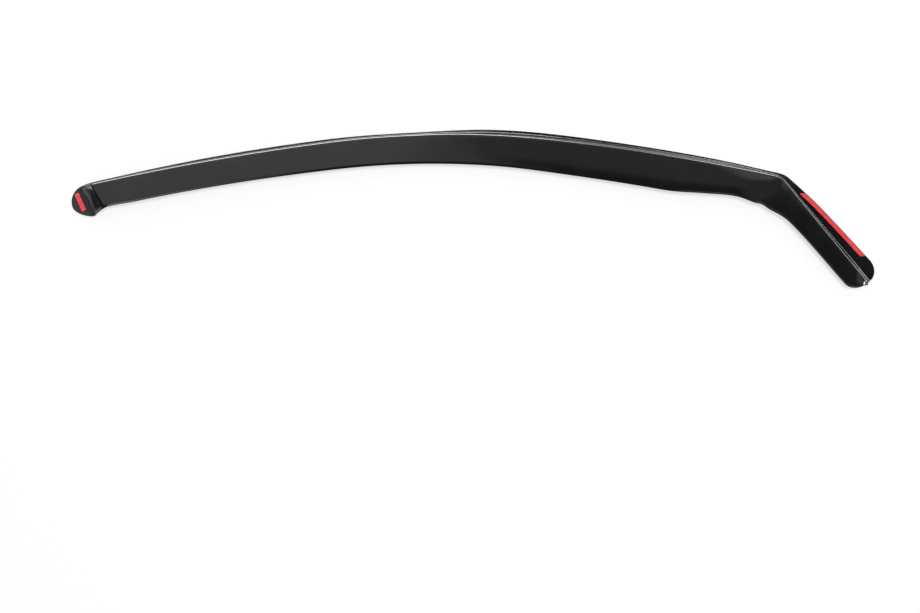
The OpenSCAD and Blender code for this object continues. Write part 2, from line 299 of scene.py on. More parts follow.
def deliver(piece: bpy.types.Object, finish: Finish, *nodes: str) -> None:
    """Dress a piece, hang it on the body and let it stand for its CAD nodes.

    Args:
        piece: The mesh object.
        finish: Its finish.
        nodes: CAD nodes that it stands for.
    """
    piece.data.materials.append(finish.build())
    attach(piece, BODY)
    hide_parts(*nodes)
    log.info("%s: %d faces, stands for %s", piece.name, len(piece.data.polygons), ", ".join(nodes))


# The moulding


@dataclass
class Moulding:
    """The one-piece acrylic moulding: tab, end step, flange, step wall and panel.

    Args:
        wall: Thickness of the sheet.
        edge_reach: How far the rounded cut edge stands out from the face.
        edge_depth: How deep the rounding goes into the thickness.
        edge_points: Points round each quarter of the cut edge.
        tab_radius: Radius of the round rear tab.
        tab_swell: Share by which the tab hangs lower than a circle at the end step.
        tab_taper: What is lost of that share for each millimetre away from the end step.
        end_step_run: Length over which the end step climbs.
        end_foot_radius: Radius of the hollow at its foot.
        end_crest_radius: Radius of its crest at the fold.
        end_crest_radius_low: Radius of its crest at the lower edge.
        crest_heading: Direction square to the crest of the end step, degrees.
        waist_back: How far before the top of the end step the panel's first width stands.
        waist_length: Distance from there to the second.
        tip_length: Length over which the front tip rounds off.
        tip_flange: Flange that is left beside the step wall at the tip.
        tip_panel: Panel that is left at the tip.
        step_height: Height of the step.
        step_height_tip: Its height at the front tip.
        foot_radius: Radius of the hollow between flange and step wall.
        fold_radius: Radius of the fold between step wall and panel.
        least_flat: Least width of the flat part of the flange.
        panel_rise: Climb of the panel from the fold to its lower edge.
        panel_crown: How far the middle of the panel stands above a straight line.
        lip_width: Width of the lip that the lower edge turns down.
        lip_drop: How far it turns down.
        swings: Lengths over which the sections swing round at the bends: after the end step,
            before the pillar corner and after it.
        roof_shares: Shares of the roof run at which widths are named.
        front_shares: Shares of the front run at which the flange's are named.
        dip_shares: Shares of the front run at which the panel's are named.
        pillar_shares: Share of the pillar run for the flange's width and the panel's.
        flange_widths: Width of the flange at its named places, rear to front.
        panel_widths: Width of the panel at its named places, rear to front.
        wall_runs: Distance across that the step wall takes, rear to front.
        fold: The fold line.
        across: Points across for flange, foot, step wall, fold, panel and lip.
        along: Sections on tab, end step, stretch past it, long run, corner, pillar and tip.
    """

    wall: float = 2.4
    edge_reach: float = 0.5
    edge_depth: float = 0.75
    edge_points: int = 6
    tab_radius: float = 19.0
    tab_swell: float = 0.15
    tab_taper: float = 0.02
    end_step_run: float = 14.0
    end_foot_radius: float = 3.0
    end_crest_radius: float = 4.0
    end_crest_radius_low: float = 20.0
    crest_heading: float = 32.0
    waist_back: float = 2.0
    waist_length: float = 36.0
    tip_length: float = 18.0
    tip_flange: float = 1.2
    tip_panel: float = 3.0
    step_height: float = 9.0
    step_height_tip: float = 6.0
    foot_radius: float = 1.5
    fold_radius: float = 3.0
    least_flat: float = 0.1
    panel_rise: float = 3.0
    panel_crown: float = 1.0
    lip_width: float = 3.2
    lip_drop: float = 0.8
    swings: tuple[float, float, float] = (60.0, 60.0, 45.0)
    roof_shares: tuple[float, float] = (0.38, 0.77)
    front_shares: tuple[float, float] = (0.4, 0.75)
    dip_shares: tuple[float, ...] = (0.4, 0.55, 0.7, 0.85)
    pillar_shares: tuple[float, float] = (0.3, 0.25)
    flange_widths: tuple[float, ...] = (
        4.2, 3.9, 5.6, 5.6, 5.0, 9.2, 8.9, 8.1, 6.6, 9.2, 15.8, 21.9,
    )  # fmt: skip
    panel_widths: tuple[float, ...] = (
        36.2, 34.9, 35.1, 36.7, 37.9, 39.9, 42.0, 43.9, 44.2, 40.1, 36.7, 42.0, 41.2, 29.8, 24.7,
    )  # fmt: skip
    wall_runs: tuple[float, ...] = (1.8, 5.5, 5.5, 3.0, 5.0)
    fold: FoldLine = field(default_factory=FoldLine)
    across: tuple[int, int, int, int, int, int] = (6, 9, 3, 14, 18, 8)
    along: tuple[int, ...] = (28, 48, 26, 150, 40, 44, 28)

    def __post_init__(self) -> None:
        """Work out the curves that depend on the fold line."""
        self.door = DoorCurve(self.fold)
        m = self.fold.marks
        self.tip_at = m.end - self.tip_length
        self.waist_at = self.end_step_run - self.waist_back
        roof, front, pillar = m.front - m.roof, m.corner - m.front, m.end - m.pillar
        rear_middle = (m.rear + m.roof) / 2
        low, high = (m.roof + share * roof for share in self.roof_shares)
        early, late = (m.front + share * front for share in self.front_shares)
        dips = [m.front + share * front for share in self.dip_shares]
        flange_last, panel_last = (m.pillar + share * pillar for share in self.pillar_shares)
        self.flange = SmoothCurve(
            (0, self.end_step_run + self.end_crest_radius, rear_middle, m.roof, low, high, early,
             late, m.corner, m.pillar, flange_last, self.tip_at),
            self.flange_widths,
        )  # fmt: skip
        self.panel = SmoothCurve(
            (self.waist_at, self.waist_at + self.waist_length, rear_middle, m.roof, low, high,
             m.front, *dips, m.corner, m.pillar, panel_last, self.tip_at),
            self.panel_widths,
        )  # fmt: skip
        self.height = SmoothCurve((m.corner, self.tip_at), (self.step_height, self.step_height_tip))
        self.wall_run = SmoothCurve((low, high, late, m.pillar, self.tip_at), self.wall_runs)

    def tip_share(self, s: Array) -> Array:
        """Share of the full width that is left as the front tip rounds off."""
        return np.sqrt(np.clip(1 - (np.maximum(s - self.tip_at, 0) / self.tip_length) ** 2, 0, 1))

    def widths(self, s: Array) -> tuple[Array, Array]:
        """Widths of the sheet on both sides of the fold.

        Args:
            s: Distances along the fold.

        Returns:
            Width of the flange, step wall included, and of the panel.
        """
        chord = np.sqrt(np.maximum(self.tab_radius**2 - s**2, 0))
        middle = self.tab_middle
        base = self.wall_run(s) + self.tip_flange
        flange = base + (self.flange(s) - base) * self.tip_share(s)
        panel = self.tip_panel + (self.panel(s) - self.tip_panel) * self.tip_share(s)
        low = middle + chord * (1 + self.tab_swell + self.tab_taper * np.minimum(s, 0))
        panel = np.where(np.abs(s) < self.tab_radius, np.maximum(panel, low), panel)
        return np.where(s < 0, chord - middle, flange), np.where(s < 0, low, panel)

    @property
    def tab_middle(self) -> float:
        """How far the middle of the tab's circle lies below the fold line."""
        return self.tab_radius - self.flange_widths[0]

    def section_heading(self, s: Array) -> Array:
        """Heading of the cross-sections, which turn more gently than the fold at its bends.

        Args:
            s: Distances along the fold.

        Returns:
            Their headings in degrees.
        """
        after_step, before_corner, after_corner = self.swings
        m, a, start = self.fold.marks, self.end_step_run, self.fold.start_heading
        b, c, d = a + after_step, m.corner - before_corner, m.pillar + after_corner
        heading = self.fold.at(s)[2]
        at_b, at_c, at_d = self.fold.at(np.array([b, c, d]))[2]
        heading = np.where(s < a, start + (self.crest_heading - start) * ease(s, 0, a), heading)
        rear = self.crest_heading + (at_b - self.crest_heading) * ease(s, a, b)
        heading = np.where((s >= a) & (s < b), rear, heading)
        return np.where((s > c) & (s < d), at_c + (at_d - at_c) * ease(s, c, d), heading)

    def end_share(self, s: float, radius: Array) -> Array:
        """Share of the full height: none on the tab, all of it past the end step.

        Args:
            s: Distance along the fold.
            radius: Radius of the crest at each place across.

        Returns:
            The share at each place across.
        """
        slope = math.atan2(self.step_height, self.end_step_run)
        foot = self.end_foot_radius * math.tan(slope / 2)
        crest = radius * math.tan(slope / 2)
        rise = s * self.step_height / self.end_step_run
        under = self.end_foot_radius**2 - (s + foot) ** 2
        low = self.end_foot_radius - np.sqrt(np.maximum(under, 0))
        over = radius**2 - (s - self.end_step_run - crest) ** 2
        high = self.step_height - radius + np.sqrt(np.maximum(over, 0))
        z = np.where(s < foot * math.cos(slope), low, rise)
        z = np.where(s > self.end_step_run - crest * math.cos(slope), high, z)
        z = np.where(s <= -foot, 0.0, z)
        return np.where(s >= self.end_step_run + crest, self.step_height, z) / self.step_height

    def profile(self, f: float, w: float, h: float, run: float) -> Array:
        """One cross-section at full height.

        Args:
            f: Width of the flange, step included.
            w: Width of the panel.
            h: Height of the step.
            run: Distance across that the step wall takes.

        Returns:
            Rows of distance across from the fold and height above the flange.
        """
        n_flange, n_foot, n_wall, n_fold, n_panel, n_lip = self.across
        slope = math.atan2(h, run)
        start = math.atan2(self.panel_rise + 4 * self.panel_crown, w)
        foot = self.foot_radius * math.tan(slope / 2)
        top = self.fold_radius * math.tan((slope - start) / 2)
        edge = max(f - self.edge_reach, run + foot + self.least_flat)
        land = top * math.cos(start)
        t = np.arange(n_flange) / n_flange
        flange = np.c_[-edge + (edge - run - foot) * t, 0 * t]
        a = slope * np.arange(n_foot) / (n_foot - 1)
        hollow = np.c_[
            self.foot_radius * np.sin(a) - run - foot, self.foot_radius * (1 - np.cos(a))
        ]
        a = slope + (start - slope) * np.arange(n_fold) / (n_fold - 1)
        ridge = np.c_[
            self.fold_radius * (math.sin(slope) - np.sin(a)) - top * math.cos(slope),
            h - top * math.sin(slope) - self.fold_radius * (math.cos(slope) - np.cos(a)),
        ]
        t = (np.arange(n_wall) + 1)[:, None] / (n_wall + 1)
        face = hollow[-1] + (ridge[0] - hollow[-1]) * t
        reach = w - self.edge_reach - land
        lip = min(self.lip_width, reach / 2)
        curl = self.lip_drop * (lip / self.lip_width) ** 2
        on_panel = (reach - lip) * np.arange(1, n_panel + 1) / n_panel
        on_lip = reach - lip + lip * np.arange(1, n_lip + 1) / n_lip
        q = land + np.concatenate([on_panel, on_lip])
        t = q / w
        e = np.maximum(q - land - reach + lip, 0) / lip
        rise = self.panel_rise * t + 4 * self.panel_crown * t * (1 - t)
        return np.vstack([flange, hollow, face, ridge, np.c_[q, h + rise - curl * e * e]])

    def point(self, s: Array, q: Array, z: Array | float) -> Array:
        """Points of the drawing.

        Args:
            s: Distances along the fold.
            q: Distances across from it, toward the panel.
            z: Heights above the door.

        Returns:
            Rows of x, y, z.
        """
        x, y, _ = self.fold.at(s)
        h = np.radians(self.section_heading(np.atleast_1d(s)))
        px, py = x + q * np.sin(h), y - q * np.cos(h)
        return np.stack([px, py, z + self.door.height(px, py)], -1)

    def stations(self) -> Array:
        """Places of the cross-sections, closer together where the sheet bends.

        Returns:
            Distances along the fold, rear to front.
        """
        m = self.fold.marks
        near_step, near_corner, past_crest, first_turn, last_turn = 60.0, 14.0, 0.3, 4.0, 84.0
        foot_at, crest_at = -1.1, self.end_step_run + past_crest * self.end_crest_radius_low
        before, after = m.corner - near_corner, m.pillar + near_corner
        stops = (foot_at, crest_at, crest_at + near_step, before, after, self.tip_at)
        on_tab, *counts, on_tip = self.along
        tab = -self.tab_radius * np.sin(np.radians(np.linspace(last_turn, first_turn, on_tab)))
        parts = [tab, [foot_at]]
        for first, last, count in zip(stops, stops[1:], counts):
            parts.append(np.linspace(first, last, count)[1:])
        tip = np.sin(np.radians(np.linspace(0, last_turn, on_tip)[1:]))
        return np.concatenate([*parts, self.tip_at + self.tip_length * tip])

    def outer_grid(self) -> Array:
        """Points of the outer face, before it is laid down.

        Returns:
            A grid of points, stations by places across.
        """
        stations = self.stations()
        flange, panel = self.widths(stations)
        height, run = self.height(stations), self.wall_run(stations)
        rounder = self.end_crest_radius_low - self.end_crest_radius
        rows = []
        for i, s in enumerate(stations):
            p = self.profile(max(flange[i], self.flange_widths[0]), panel[i], height[i], run[i])
            crest = self.end_crest_radius + rounder * np.clip(p[:, 0] / panel[i], 0, 1)
            share = self.end_share(s, crest)
            if s < 0:
                k = (flange[i] + panel[i] - 2 * self.edge_reach) / (p[-1, 0] - p[0, 0])
                p[:, 0] = self.edge_reach - flange[i] + (p[:, 0] - p[0, 0]) * k
            rows.append(self.point(np.full(len(p), s), p[:, 0], p[:, 1] * share))
        return np.array(rows)

    def shell(self) -> tuple[Array, Array, Array]:
        """Both faces of the sheet, before it is laid down.

        Returns:
            Grids of the outer face, of the inner face and of the outer face's unit normals.
        """
        outer = self.outer_grid()
        n = np.cross(np.gradient(outer, axis=1), np.gradient(outer, axis=0))
        normal = n / np.linalg.norm(n, axis=2, keepdims=True)
        return outer, outer - self.wall * normal, normal

    def build(self, attitude: Attitude) -> bpy.types.Object:
        """Mesh of the whole sheet: outer face, inner face and the rounded cut edge.

        Args:
            attitude: How the part lies.

        Returns:
            The object, with "edge" and "inside" stored at its points.
        """
        outer, inner, normal = self.shell()
        rows, cols = outer.shape[:2]
        number = np.arange(rows * cols).reshape(rows, cols)
        p0, p1, p2, p3 = number[:-1, :-1], number[1:, :-1], number[1:, 1:], number[:-1, 1:]
        quads = [np.stack([p0, p3, p2, p1], -1), np.stack([p0, p1, p2, p3], -1) + number.size]
        faces = np.concatenate([q.reshape(-1, 4) for q in quads]).tolist()

        rim = np.concatenate([number[:, 0], number[-1, 1:], number[-2::-1, -1], number[0, -2:0:-1]])
        edge, up = outer.reshape(-1, 3)[rim], normal.reshape(-1, 3)[rim]
        out = np.cross(up, np.roll(edge, -1, 0) - np.roll(edge, 1, 0))
        out = out / np.linalg.norm(out, axis=1, keepdims=True)
        turns = np.radians(np.linspace(0, 90, self.edge_points)[1:])
        rounding = [
            (self.edge_reach * math.sin(a), self.edge_depth * (1 - math.cos(a))) for a in turns
        ]
        rings = rounding + [(reach, self.wall - depth) for reach, depth in reversed(rounding)]
        points = [outer.reshape(-1, 3), inner.reshape(-1, 3)]
        last = rim
        for k, (reach, depth) in enumerate(rings):
            points.append(edge + reach * out - depth * up)
            ring = 2 * number.size + k * len(rim) + np.arange(len(rim))
            faces += ring_faces(last, ring)
            last = ring
        faces += ring_faces(last, rim + number.size)

        piece = make_piece("moulding", attitude.lay(np.vstack(points)), faces)
        at_rim = np.repeat(np.linspace(0, 1, len(rings)), len(rim))
        mark_points(piece, "edge", np.r_[np.zeros(2 * number.size), np.ones(len(at_rim))])
        mark_points(piece, "inside", np.r_[np.zeros(number.size), np.ones(number.size), at_rim])
        return piece


@dataclass
class Attitude:
    """How the part comes to rest: which way is up, and where its origin is.

    Args:
        moulding: The moulding that is laid down.
        tries: Rounds in which the three points that it stands on settle.
    """

    moulding: Moulding
    tries: int = 8

    def __post_init__(self) -> None:
        """Find the three points that the part stands on."""
        part = self.moulding
        s, m = part.stations(), part.fold.marks
        outer, inner, _ = part.shell()
        middle = (m.front + m.corner) / 2
        spans = ((-part.tab_radius, part.waist_at), (m.roof, middle), (m.corner, m.end))
        feet = [inner[(s >= a) & (s <= b)].reshape(-1, 3) for a, b in spans]
        up = np.array([0.0, 0.0, 1.0])
        for _ in range(self.tries):
            a, b, c = (f[np.argmin(f @ up)] for f in feet)
            up = np.cross(c - a, b - a)
            up = up / np.linalg.norm(up)
        v = np.array([up[1], -up[0], 0.0])
        k = np.array([[0, 0, v[1]], [0, 0, -v[0]], [-v[1], v[0], 0]])
        self.turn = np.eye(3) + k + k @ k / (1 + up[2])
        every = np.vstack([outer.reshape(-1, 3), inner.reshape(-1, 3)]) @ self.turn.T
        low, high = every.min(0), every.max(0)
        self.home = np.array([(low[0] + high[0]) / 2, (low[1] + high[1]) / 2, low[2]])

    def lay(self, points: Array) -> Array:
        """Move points from the drawing onto the ground, in metres."""
        return (points @ self.turn.T - self.home) * MM


# The tape


@dataclass(frozen=True)
class Slab:
    """A thin slab of tape with round corners and soft edges.

    Args:
        name: Name of the piece.
        node: CAD node that it stands for.
        low: Height of its underside above the seat.
        high: Height of its top.
        corner: Radius of its corners.
        inset: How far its outline stays inside the drawn one.
        edge: Radius of its long edges.
        bulge: How far its side swells out between its edges.
        flat_ring: Width of the flat ring inside a soft edge, in radii of the edge.
        least_turn: Turn of the outline below which there is no corner, degrees.
        corner_points: Points round a corner.
        edge_points: Points round a soft edge.
        belly: Places of points on a swollen side, from -1 at its foot to 1 at its top.
    """

    name: str
    node: str
    low: float
    high: float
    corner: float
    inset: float
    edge: float
    bulge: float = 0.0
    flat_ring: float = 2.5
    least_turn: float = 20.0
    corner_points: int = 8
    edge_points: int = 4
    belly: tuple[float, ...] = (-0.5, 0.0, 0.5)

    def rounded(self, outline: Array) -> Array:
        """The outline pulled in by the inset, with its corners rounded.

        Args:
            outline: Rows of x, y, counter-clockwise.

        Returns:
            Rows of x, y.
        """
        before, after = outline - np.roll(outline, 1, 0), np.roll(outline, -1, 0) - outline
        d0 = before / np.linalg.norm(before, axis=1, keepdims=True)
        d1 = after / np.linalg.norm(after, axis=1, keepdims=True)
        cosine = (d0 * d1).sum(1)
        square = np.c_[d0[:, 1] + d1[:, 1], -d0[:, 0] - d1[:, 0]]
        moved = outline - self.inset * square / (1 + cosine)[:, None]
        points = []
        for p, a, b, c in zip(moved, d0, d1, cosine):
            turn = math.acos(min(max(c, -1.0), 1.0))
            if turn < math.radians(self.least_turn):
                points.append(p)
                continue
            back = self.corner * math.tan(turn / 2)
            middle = p - back * a + self.corner * np.array([-a[1], a[0]])
            for share in np.linspace(0, 1, self.corner_points):
                swing = math.atan2(-a[0], a[1]) + turn * share
                points.append(middle + self.corner * np.array([math.cos(swing), math.sin(swing)]))
        return np.array(points)

    def build(self, outline: Array, seat: Seat, attitude: Attitude) -> bpy.types.Object:
        """Mesh of the slab.

        Args:
            outline: Its drawn outline on the seat.
            seat: The flat place that it lies on.
            attitude: How the part lies.

        Returns:
            The object.
        """
        flat = self.rounded(outline)
        along = np.roll(flat, -1, 0) - np.roll(flat, 1, 0)
        out = np.c_[along[:, 1], -along[:, 0]] / np.linalg.norm(along, axis=1, keepdims=True)
        middle, half = (self.low + self.high) / 2, (self.high - self.low) / 2
        turns = np.radians(np.linspace(0, 90, self.edge_points))
        upper = [
            (self.edge * (math.cos(a) - 1), half - self.edge + self.edge * math.sin(a))
            for a in turns
        ]
        upper.append((-self.flat_ring * self.edge, half))
        rings = [(r, -z) for r, z in reversed(upper)]
        if self.bulge:
            rings += [(self.bulge * (1 - t * t), half * t) for t in self.belly]
        rings += upper
        count = len(flat)
        points = np.vstack([seat.raise_points(flat + r * out, middle + z) for r, z in rings])
        faces = [list(range(count))[::-1], [count * (len(rings) - 1) + k for k in range(count)]]
        for k in range(len(rings) - 1):
            low = np.arange(count) + count * k
            faces += ring_faces(low, low + count)
        return make_piece(self.name, attitude.lay(points), faces)


@dataclass(frozen=True)
class Seat:
    """A flat place on the flange or tab: its axes and origin.

    Args:
        part: The moulding that carries it.
        center: Plan point of its origin.
        heading: Direction of its own x axis, degrees.
    """

    part: Moulding
    center: Array
    heading: float

    @property
    def axes(self) -> Array:
        """Its own axes.

        Returns:
            Rows of its x, y and z axes.
        """
        x, y = self.center[:2]
        here = self.part.door.height(x, y)
        gx, gy = self.part.door.height(x + 1, y) - here, self.part.door.height(x, y + 1) - here
        c, s = math.cos(math.radians(self.heading)), math.sin(math.radians(self.heading))
        ez = np.array([-gx, -gy, 1.0])
        ex = np.array([c, s, gx * c + gy * s])
        ez, ex = ez / np.linalg.norm(ez), ex / np.linalg.norm(ex)
        return np.array([ex, np.cross(ez, ex), ez])

    @property
    def origin(self) -> Array:
        """Its origin on the door surface."""
        x, y = self.center[:2]
        return np.array([x, y, float(self.part.door.height(x, y))])

    def flatten(self, points: Array) -> Array:
        """Places on the seat of points on the door surface."""
        return (points - self.origin) @ self.axes[:2].T

    def raise_points(self, flat: Array, height: float) -> Array:
        """Points at places on the seat, at a height above it."""
        x, y, z = self.axes
        return self.origin + flat[:, :1] * x + flat[:, 1:] * y + height * z


@dataclass
class TapePad:
    """A foam tape pad with its red release film.

    Args:
        part: The moulding that carries it.
        prefix: First word of its pieces' names.
        node: First word of its CAD nodes' names.
        foam: Thickness of the foam tape.
        film: Thickness of the release film.
    """

    part: Moulding
    prefix: str
    node: str
    foam: float = 0.9
    film: float = 0.2

    def seat(self) -> Seat:
        """The flat place that it lies on."""
        raise NotImplementedError

    def outline(self, seat: Seat) -> Array:
        """Its outline on the seat, counter-clockwise."""
        raise NotImplementedError

    def slabs(self) -> tuple[Slab, Slab]:
        """Sizes of both pieces.

        Returns:
            The foam and the film.
        """
        foam = Slab(
            f"{self.prefix}_foam", f"{self.node}_tape", 0.0, self.foam,
            corner=0.5, inset=0.15, edge=0.06, bulge=0.1,
        )  # fmt: skip
        film = Slab(
            f"{self.prefix}_film", f"{self.node}_liner", self.foam, self.foam + self.film,
            corner=0.7, inset=0.0, edge=0.07,
        )  # fmt: skip
        return foam, film

    def build(self, attitude: Attitude) -> None:
        """Make both pieces and dress them.

        Args:
            attitude: How the part lies.
        """
        seat = self.seat()
        outline = self.outline(seat)
        for slab, finish in zip(self.slabs(), (FoamTape(), ReleaseFilm())):
            piece = slab.build(outline, seat, attitude)
            deliver(piece, finish, slab.node)


@dataclass
class RearPad(TapePad):
    """The short pad on the round rear tab.

    Args:
        length: Length of the pad.
        width: Width of the pad.
        inset: Distance from the foot of the end step to the middle of the pad.
        lift: How far the pad sits above the middle of the tab.
    """

    length: float = 24.0
    width: float = 5.5
    inset: float = 7.7
    lift: float = 1.4
    prefix: str = "rear"
    node: str = "rear"

    def seat(self) -> Seat:
        """The flat tab."""
        center = self.part.point(-self.inset, self.part.tab_middle - self.lift, 0.0)[0]
        return Seat(self.part, center, self.part.fold.start_heading)

    def outline(self, seat: Seat) -> Array:
        """A plain rectangle."""
        corners = np.array([[-1, -1], [1, -1], [1, 1], [-1, 1]], float)
        return corners * [self.width / 2, self.length / 2]


@dataclass
class PillarStrip(TapePad):
    """The long strip beside the outer edge of the pillar flange.

    Args:
        width: Width of the strip.
        margin: Gap between the strip and the edge of the flange.
        start: Distance from the pillar corner to its upper end.
        length: Length of the strip.
        steps: Number of straight steps that follow the flange edge.
    """

    width: float = 5.0
    margin: float = 1.4
    start: float = 25.0
    length: float = 104.0
    steps: int = 12
    prefix: str = "pillar"
    node: str = "front"

    def seat(self) -> Seat:
        """The flat part of the pillar flange.

        Returns:
            The seat, with its origin at the upper end of the strip.
        """
        fold, s = self.part.fold, self.part.fold.marks.pillar
        center = self.part.point(s + self.start, 0.0, 0.0)[0]
        return Seat(self.part, center, float(fold.at(s)[2][0]))

    def side(self, seat: Seat, inset: float, first: float) -> Array:
        """One long side of the strip, from its upper end down.

        Args:
            seat: The flat place that it lies on.
            inset: Distance from the flange edge.
            first: Distance from the pillar corner to where it begins.

        Returns:
            Rows of x, y on the seat.
        """
        part, steps = self.part, np.arange(self.steps + 1)
        s = part.fold.marks.pillar + first + self.length * steps / self.steps
        return seat.flatten(part.point(s, inset - part.widths(s)[0], 0.0))

    def outline(self, seat: Seat) -> Array:
        """Both long sides, with ends that are cut level.

        Args:
            seat: The flat place that it lies on.

        Returns:
            Rows of x, y on the seat, counter-clockwise.
        """
        level_cut = self.width / math.tan(math.radians(-seat.heading))
        near = self.side(seat, self.margin, self.start)
        far = self.side(seat, self.margin + self.width, self.start - level_cut)
        return np.vstack([far, near[::-1]])


# Shader graphs


@dataclass(frozen=True)
class Link:
    """One output of a node, on which Python arithmetic adds Math nodes.

    Args:
        graph: The graph that it is in.
        socket: The output socket, or none for a node that has no output.
    """

    graph: Graph
    socket: bpy.types.NodeSocket | None

    def _math(self, operation: str, a: Link | float, b: Link | float, clamp: bool = False) -> Link:
        """A Math node on two values."""
        settings = {"operation": operation, "use_clamp": clamp}
        return self.graph.add("ShaderNodeMath", settings, {0: a, 1: b})

    def __add__(self, other: Link | float) -> Link:
        """This value plus the other, which may also come first."""
        return self._math("ADD", self, other)

    __radd__ = __add__

    def __sub__(self, other: Link | float) -> Link:
        """This value minus the other."""
        return self._math("SUBTRACT", self, other)

    def __rsub__(self, other: Link | float) -> Link:
        """The other value minus this."""
        return self._math("SUBTRACT", other, self)

    def __mul__(self, other: Link | float) -> Link:
        """This value times the other, which may also come first."""
        return self._math("MULTIPLY", self, other)

    __rmul__ = __mul__

    def larger(self, other: Link | float) -> Link:
        """The larger of this value and the other."""
        return self._math("MAXIMUM", self, other)

    def angle(self, height: Link) -> Link:
        """Angle from straight up, in degrees, that this sideways part and a height make."""
        turn = self._math("ARCTAN2", self, height)
        return self.graph.add("ShaderNodeMath", {"operation": "DEGREES"}, {0: turn})

    def clamped(self) -> Link:
        """This value kept from 0 to 1."""
        return self._math("ADD", self, 0.0, clamp=True)

    def above(self, floor: float, width: float) -> Link:
        """0 below a floor, rising smoothly to 1 over a width."""
        settings = {"interpolation_type": "SMOOTHSTEP"}
        return self.graph.add("ShaderNodeMapRange", settings, {0: self, 1: floor, 2: floor + width})

    def beside(self, output: str) -> Link:
        """Another output of the same node."""
        return Link(self.graph, self.socket.node.outputs[output])


@dataclass(frozen=True)
class Graph:
    """A node tree that is filled by one method.

    Args:
        tree: The node tree.
    """

    tree: bpy.types.NodeTree

    def add(
        self,
        kind: str,
        settings: dict[str, Any] | None = None,
        inputs: dict[str | int, Any] | None = None,
        output: str | int = 0,
    ) -> Link:
        """Add a node.

        Args:
            kind: Type of the node.
            settings: Its properties, which are set first.
            inputs: Values or links of its sockets.
            output: Which output to return.

        Returns:
            That output.
        """
        node = self.tree.nodes.new(kind)
        for name, value in (settings or {}).items():
            setattr(node, name, value)
        for key, value in (inputs or {}).items():
            if isinstance(value, Link):
                self.tree.links.new(value.socket, node.inputs[key])
            else:
                node.inputs[key].default_value = value
        return Link(self, node.outputs[output] if len(node.outputs) else None)

    def colors(self, factor: Link | float, a: Link | Color, b: Link | Color) -> Link:
        """Two colours mixed, with this share of the second."""
        a, b = (v if isinstance(v, Link) else (*v, 1.0) for v in (a, b))
        return self.add("ShaderNodeMix", {"data_type": "RGBA"}, {0: factor, 6: a, 7: b}, 2)

    def stretched(self, place: Link, scale: tuple[float, float, float]) -> Link:
        """Coordinates multiplied by a scale of their own in each direction."""
        return self.add("ShaderNodeVectorMath", {"operation": "MULTIPLY"}, {0: place, 1: scale})

    def noise(self, place: Link, scale: float, detail: float = 2.0, roughness: float = 0.5) -> Link:
        """Noise from 0 to 1 with so many features to a metre, and finer layers of a strength."""
        inputs = {"Vector": place, "Scale": scale, "Detail": detail, "Roughness": roughness}
        return self.add("ShaderNodeTexNoise", {"noise_dimensions": "3D"}, inputs)

    def place(self) -> Link:
        """Coordinates in metres, fixed to the piece."""
        return self.add("ShaderNodeTexCoord", output="Object")

    def stored(self, name: str) -> Link:
        """A number stored at the points of the mesh."""
        return self.add("ShaderNodeAttribute", {"attribute_name": name}, output="Fac")

    def bump(
        self, height: Link, depth: float, strength: float = 1.0, under: Link | None = None
    ) -> Link:
        """A normal bent by a height.

        Args:
            height: Height from 0 to 1.
            depth: What a height of 1 measures, in metres.
            strength: Share of the effect.
            under: Normal of a coarser bump below it.

        Returns:
            The normal.
        """
        inputs: dict[str | int, Any] = {"Strength": strength, "Distance": depth, "Height": height}
        if under is not None:
            inputs["Normal"] = under
        return self.add("ShaderNodeBump", None, inputs)


def new_material(name: str) -> tuple[bpy.types.Material, Graph]:
    """An empty node material.

    Args:
        name: Name of the material.

    Returns:
        The material and its graph.
    """
    material = bpy.data.materials.new(name)
    material.use_nodes = True
    material.node_tree.nodes.clear()
    return material, Graph(material.node_tree)


# Finishes


@dataclass(frozen=True)
class Finish:
    """A finish of the part, on one principled shader.

    Args:
        slot: Material slot that it belongs to.
    """

    slot: Slot

    def inputs(self, g: Graph) -> dict[str, Any]:
        """Values and links of the shader's sockets."""
        raise NotImplementedError

    def build(self) -> bpy.types.Material:
        """Make the material.

        Returns:
            The material, named for its slot.
        """
        material, g = new_material(self.slot.value)
        shader = g.add("ShaderNodeBsdfPrincipled", None, self.inputs(g))
        g.add("ShaderNodeOutputMaterial", None, {"Surface": shader})
        return material


